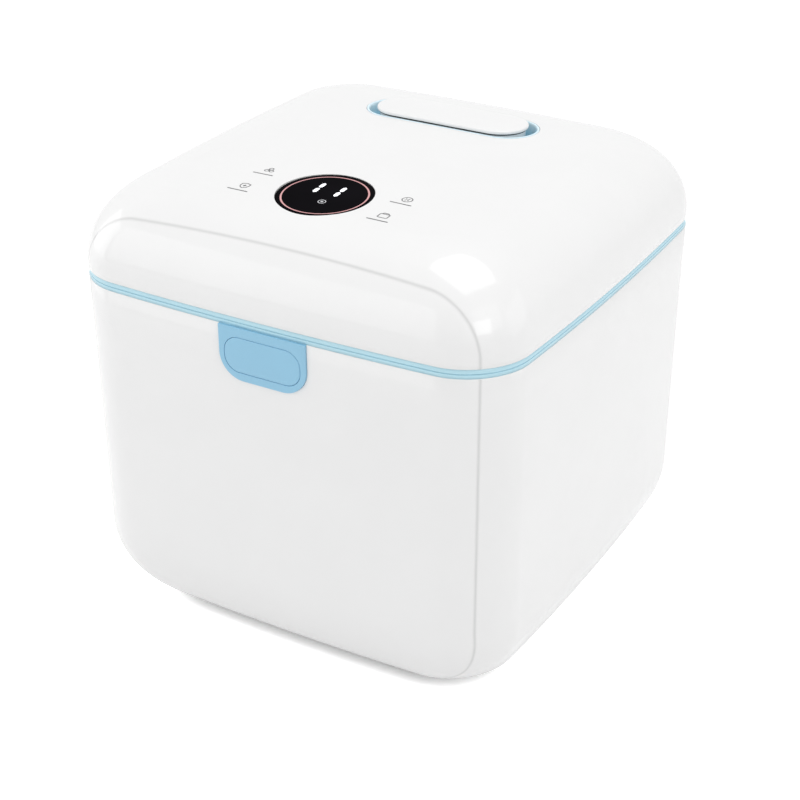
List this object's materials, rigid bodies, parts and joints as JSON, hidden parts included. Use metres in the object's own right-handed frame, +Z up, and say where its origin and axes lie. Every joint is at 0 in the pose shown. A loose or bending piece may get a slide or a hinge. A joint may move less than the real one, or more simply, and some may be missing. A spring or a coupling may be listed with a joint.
{
  "type": "countertop pacifier sterilizer box",
  "caption": "Soft-cornered white box with a hinged lid, round touch display, pull-up handle and front latch button; steel chamber with ultraviolet lamps and hot-air drying.",
  "frame": {"origin": "on the plane of the feet, below the middle of the housing's plan", "axes": "+Z up, -Y towards the front with the latch button, +X to the right seen from the front"},
  "size_m": [0.28, 0.2867, 0.2759],
  "materials": {
    "white_gloss": "smooth moulded, satin gloss",
    "white_satin": "fine moulded texture",
    "blue_gloss": "smooth moulded, semi-gloss",
    "grey_rubber": "soft matt",
    "screw_steel": "zinc plated",
    "pin_steel": "ground",
    "spring_wire": "drawn wire",
    "chamber_steel": "polished sheet",
    "rack_wire": "electropolished wire",
    "zinc_sheet": "zinc-plated sheet",
    "mirror_sheet": "bright reflector sheet",
    "heater_fins": "plain fins",
    "lamp_metal": "pressed caps",
    "lamp_glass": "clear quartz",
    "guard_glass": "clear plate",
    "socket_ceramic": "unglazed white",
    "dark_plastic": "plain moulded",
    "grey_plastic": "plain moulded",
    "black_parts": "moulded black",
    "circuit_board": "solder mask",
    "filter_foam": "open foam",
    "display_black": "smooth dark window",
    "ring_light": "light guide"
  },
  "bodies": {
    "housing": {"body_shell": "white_gloss", "base_plate": "white_satin", "foot_front_left": "grey_rubber", "foot_front_right": "grey_rubber", "foot_rear_left": "grey_rubber", "foot_rear_right": "grey_rubber", "base_screws": "screw_steel", "rim_frame": "blue_gloss", "chamber_liner": "chamber_steel", "wire_rack": "rack_wire", "rack_fence": "rack_wire", "lower_lamp_tube": "lamp_glass", "lower_lamp_caps": "lamp_metal", "lower_lamp_sockets": "socket_ceramic", "latch_bezel": "blue_gloss", "latch_bracket": "zinc_sheet", "latch_pin": "pin_steel", "latch_spring": "spring_wire", "hinge_bracket": "white_satin", "hinge_pin": "pin_steel", "bracket_screws": "screw_steel", "fan_housing": "dark_plastic", "fan_motor": "zinc_sheet", "heater": "heater_fins", "hot_air_duct": "dark_plastic", "intake_filter": "filter_foam", "blower_screws": "screw_steel", "main_board": "circuit_board", "board_parts": "black_parts", "board_screws": "screw_steel", "power_inlet": "black_parts", "reed_switch": "black_parts"},
    "lid": {"lid_shell": "white_gloss", "lid_trim": "blue_gloss", "lid_panel": "white_satin", "lid_seal": "grey_rubber", "lid_screws": "screw_steel", "lid_magnet": "zinc_sheet", "striker": "zinc_sheet", "hinge_leaf": "white_satin", "hinge_leaf_screws": "screw_steel", "upper_lamp_tube": "lamp_glass", "upper_lamp_caps": "lamp_metal", "upper_lamp_sockets": "socket_ceramic", "lamp_reflector": "mirror_sheet", "lamp_guard": "guard_glass", "display_window": "display_black", "glow_ring": "ring_light", "digit_module": "black_parts", "display_board": "circuit_board", "display_screws": "screw_steel", "touch_pads": "grey_plastic", "handle_cup": "blue_gloss"},
    "handle": {"handle_bar": "white_gloss", "handle_posts": "pin_steel", "post_clips": "dark_plastic"},
    "button": {"release_button": "blue_gloss"},
    "latch": {"latch_lever": "dark_plastic"},
    "blower": {"fan_wheel": "grey_plastic", "fan_shaft": "pin_steel"}
  },
  "joints": [
    {"name": "lid_hinge", "type": "hinge", "parent": "housing", "child": "lid", "pos_m": [0, 0.1402, 0.21845], "axis": [-1, 0, 0], "range_deg": [0, 100]},
    {"name": "handle_lift", "type": "slide", "parent": "lid", "child": "handle", "axis": [0, 0.0405, 0.9992], "range_m": [0, 0.026]},
    {"name": "button_press", "type": "slide", "parent": "housing", "child": "button", "axis": [0, 1, 0], "range_m": [0, 0.0025], "stiffness_N_per_m": 500, "springref_m": -0.001, "deforming": ["latch_spring"]},
    {"name": "latch_swing", "type": "hinge", "parent": "housing", "child": "latch", "pos_m": [0, -0.12525, 0.1661], "axis": [-1, 0, 0], "range_deg": [0, 4.25]},
    {"name": "blower_spin", "type": "hinge", "parent": "housing", "child": "blower", "pos_m": [-0.03, 0.036, 0.03], "axis": [0, 0, 1], "continuous": true}
  ],
  "couplings": [
    {"joint": "latch_swing", "follows": "button_press", "rad_per_m": 29.412}
  ]
}
